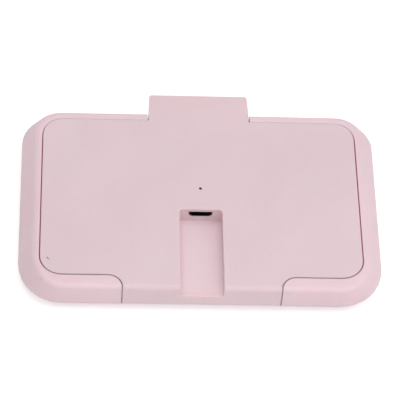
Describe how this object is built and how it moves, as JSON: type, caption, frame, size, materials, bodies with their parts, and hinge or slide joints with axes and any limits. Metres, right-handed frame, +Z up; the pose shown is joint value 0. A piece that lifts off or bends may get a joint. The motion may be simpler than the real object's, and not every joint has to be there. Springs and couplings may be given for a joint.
{
  "type": "baby wipe warmer",
  "caption": "Flat heated lid hinged in a rounded pink frame that sticks on a wipe pack, with finger tab, cable recess, micro-USB socket and pull-through opening.",
  "frame": {"origin": "under the middle of the outline, finger tab included, on the surface that the part rests on", "axes": "+X to the right seen from the hinge side, +Y from the hinge and cable recess towards the finger tab, +Z up out of the lid"},
  "size_m": [0.12, 0.0804, 0.0128],
  "materials": {
    "pink_plastic": "moulded ABS, satin, pale pink",
    "white_plastic": "moulded, fine texture",
    "black_plastic": "moulded",
    "silicone": "translucent milky silicone",
    "pad_foam": "closed-cell foam with adhesive faces",
    "insulation_foam": "soft insulating foam",
    "steel": "nickel plated",
    "aluminium": "brushed and anodised",
    "heater_film": "amber polyimide film",
    "board": "green solder mask",
    "contact_metal": "gold plated",
    "led_lens": "clear resin",
    "ceramic": "ceramic chip",
    "lead_red": "insulated wire",
    "lead_black": "insulated wire",
    "lead_white": "insulated wire"
  },
  "bodies": {
    "frame": {"base_frame": "pink_plastic", "wipe_seal": "silicone", "adhesive_pad": "pad_foam", "hinge_pin_left": "steel", "hinge_pin_right": "steel"},
    "lid": {"lid_shell": "pink_plastic", "lid_inner_cover": "white_plastic", "heat_plate": "aluminium", "heater_film": "heater_film", "insulation_foam": "insulation_foam", "cover_screw_1": "steel", "cover_screw_2": "steel", "cover_screw_3": "steel", "cover_screw_4": "steel", "circuit_board": "board", "board_screw_1": "steel", "board_screw_2": "steel", "usb_shell": "steel", "usb_contact_tongue": "black_plastic", "usb_contact_1": "contact_metal", "usb_contact_2": "contact_metal", "usb_contact_3": "contact_metal", "usb_contact_4": "contact_metal", "usb_contact_5": "contact_metal", "indicator_led": "led_lens", "control_chip": "black_plastic", "switching_transistor": "black_plastic", "capacitor_left": "ceramic", "capacitor_right": "ceramic", "resistor_1": "black_plastic", "resistor_2": "black_plastic", "resistor_3": "black_plastic", "thermal_cutoff": "steel", "thermistor": "led_lens", "heater_lead_red": "lead_red", "heater_lead_link": "lead_red", "heater_lead_black": "lead_black", "thermistor_lead_1": "lead_white", "thermistor_lead_2": "lead_white"}
  },
  "joints": [
    {"name": "lid_hinge", "type": "hinge", "parent": "frame", "child": "lid", "pos_m": [0, -0.0384, 0.0103], "axis": [1, 0, 0], "range_deg": [0, 110]}
  ]
}
